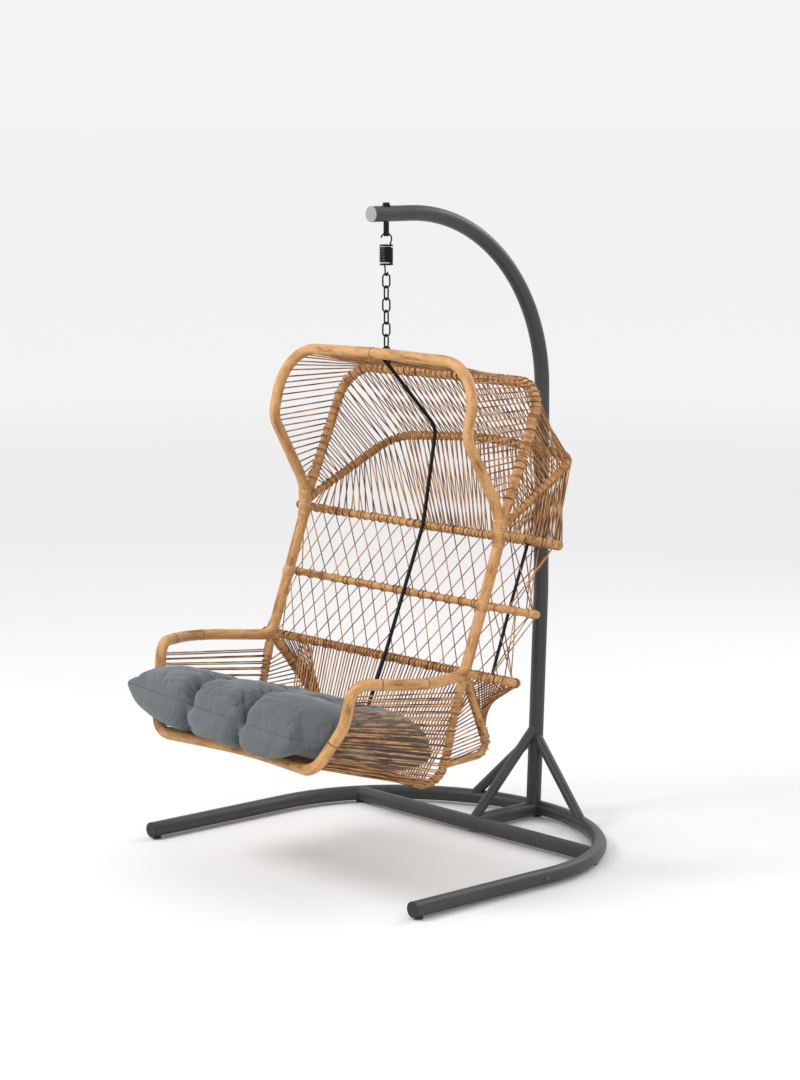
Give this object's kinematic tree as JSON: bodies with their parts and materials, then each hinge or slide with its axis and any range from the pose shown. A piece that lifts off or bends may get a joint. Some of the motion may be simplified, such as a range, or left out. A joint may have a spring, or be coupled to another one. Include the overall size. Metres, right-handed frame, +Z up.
{
  "type": "hanging egg chair",
  "caption": "Wicker hanging chair with hood, armrests and a grey tufted cushion, hung by spring and chain from a curved tube stand on a horseshoe base.",
  "frame": {"origin": "on the ground, under the middle of the whole object's bounding box", "axes": "+Z up; the sitter faces -Y; X = 0 is the plane of symmetry"},
  "size_m": [1.28, 1.3452, 2.0096],
  "materials": {
    "stand_paint": "satin charcoal powder coat",
    "spigot_steel": "plain",
    "rubber": "matte",
    "arm_cap": "light grey",
    "bolts": "zinc plated",
    "hanging_steel": "black coated steel",
    "rod_paint": "black",
    "wrapped_tube": "steel tube wrapped in tan resin wicker",
    "weave": "tan resin wicker strand",
    "cushion": "grey woven polyester over fibre fill"
  },
  "bodies": {
    "stand": {"base_ring": "stand_paint", "leg_left": "stand_paint", "leg_right": "stand_paint", "leg_spigot_left": "spigot_steel", "leg_spigot_right": "spigot_steel", "leg_end_cap_left": "rubber", "leg_end_cap_right": "rubber", "leg_screws": "bolts", "base_cross_tube": "stand_paint", "base_centre_tube": "stand_paint", "post_lower": "stand_paint", "post_spigot": "spigot_steel", "post_upper_arm": "stand_paint", "post_bolts": "bolts", "arm_end_cap": "arm_cap", "strut_front": "stand_paint", "strut_left": "stand_paint", "strut_right": "stand_paint", "feet": "rubber"},
    "hanger": {"hanger_stem": "hanging_steel", "hanger_nut": "hanging_steel"},
    "spring_upper": {"spring_upper_hook": "hanging_steel", "spring_coils": "hanging_steel"},
    "spring_lower": {"spring_lower_hook": "hanging_steel"},
    "link_1": {"chain_link_1": "hanging_steel"},
    "link_2": {"chain_link_2": "hanging_steel"},
    "link_3": {"chain_link_3": "hanging_steel"},
    "link_4": {"chain_link_4": "hanging_steel"},
    "link_5": {"chain_link_5": "hanging_steel"},
    "link_6": {"chain_link_6": "hanging_steel"},
    "chair": {"chair_eye": "hanging_steel", "centre_spine": "rod_paint", "back_rod_left": "rod_paint", "back_rod_right": "rod_paint", "hood_and_side_rim": "wrapped_tube", "arm_loop_left": "wrapped_tube", "arm_loop_right": "wrapped_tube", "front_rail": "wrapped_tube", "hood_middle_rib": "wrapped_tube", "hood_rear_rib": "wrapped_tube", "neck_rib": "wrapped_tube", "waist_rib": "wrapped_tube", "seat_back_rib": "wrapped_tube", "seat_side_rib": "wrapped_tube", "seat_brace_left": "wrapped_tube", "seat_brace_right": "wrapped_tube", "weave_hood_front": "weave", "weave_hood_middle": "weave", "weave_hood_rear": "weave", "weave_back_upper": "weave", "weave_back_lower": "weave", "weave_seat_back": "weave", "weave_seat_floor": "weave", "weave_arm_left": "weave", "weave_arm_right": "weave", "weave_gusset_left": "weave", "weave_gusset_right": "weave", "weave_wing_left": "weave", "weave_wing_right": "weave", "seat_cushion": "cushion"}
  },
  "joints": [
    {"name": "hanger_swivel", "type": "hinge", "parent": "stand", "child": "hanger", "pos_m": [0, -0.021, 1.976], "axis": [0, 0, 1], "range_deg": [-90, 90]},
    {"name": "hook_sway", "type": "hinge", "parent": "hanger", "child": "spring_upper", "pos_m": [0, -0.021, 1.918], "axis": [0.247, 0.969, 0], "range_deg": [-10, 10]},
    {"name": "spring_stretch", "type": "slide", "parent": "spring_upper", "child": "spring_lower", "axis": [0, 0, -1], "range_m": [-0.003, 0.03], "stiffness_N_per_m": 30000, "springref_m": -0.00934, "deforming": ["spring_coils"]},
    {"name": "link_1_rock", "type": "hinge", "parent": "spring_lower", "child": "link_1", "pos_m": [0, -0.021, 1.7903], "axis": [0.969, -0.247, 0], "range_deg": [-10, 10]},
    {"name": "link_2_rock", "type": "hinge", "parent": "link_1", "child": "link_2", "pos_m": [0, -0.021, 1.7534], "axis": [-0.247, -0.969, 0], "range_deg": [-10, 10]},
    {"name": "link_3_rock", "type": "hinge", "parent": "link_2", "child": "link_3", "pos_m": [0, -0.021, 1.7167], "axis": [-0.969, 0.247, 0], "range_deg": [-10, 10]},
    {"name": "link_4_rock", "type": "hinge", "parent": "link_3", "child": "link_4", "pos_m": [0, -0.021, 1.68], "axis": [0.247, 0.969, 0], "range_deg": [-10, 10]},
    {"name": "link_5_rock", "type": "hinge", "parent": "link_4", "child": "link_5", "pos_m": [0, -0.021, 1.6433], "axis": [0.969, -0.247, 0], "range_deg": [-10, 10]},
    {"name": "link_6_rock", "type": "hinge", "parent": "link_5", "child": "link_6", "pos_m": [0, -0.021, 1.6066], "axis": [-0.247, -0.969, 0], "range_deg": [-10, 10]},
    {"name": "chair_swing", "type": "hinge", "parent": "link_6", "child": "chair", "pos_m": [0, -0.021, 1.5699], "axis": [-0.969, 0.247, 0], "range_deg": [-10, 10]}
  ]
}
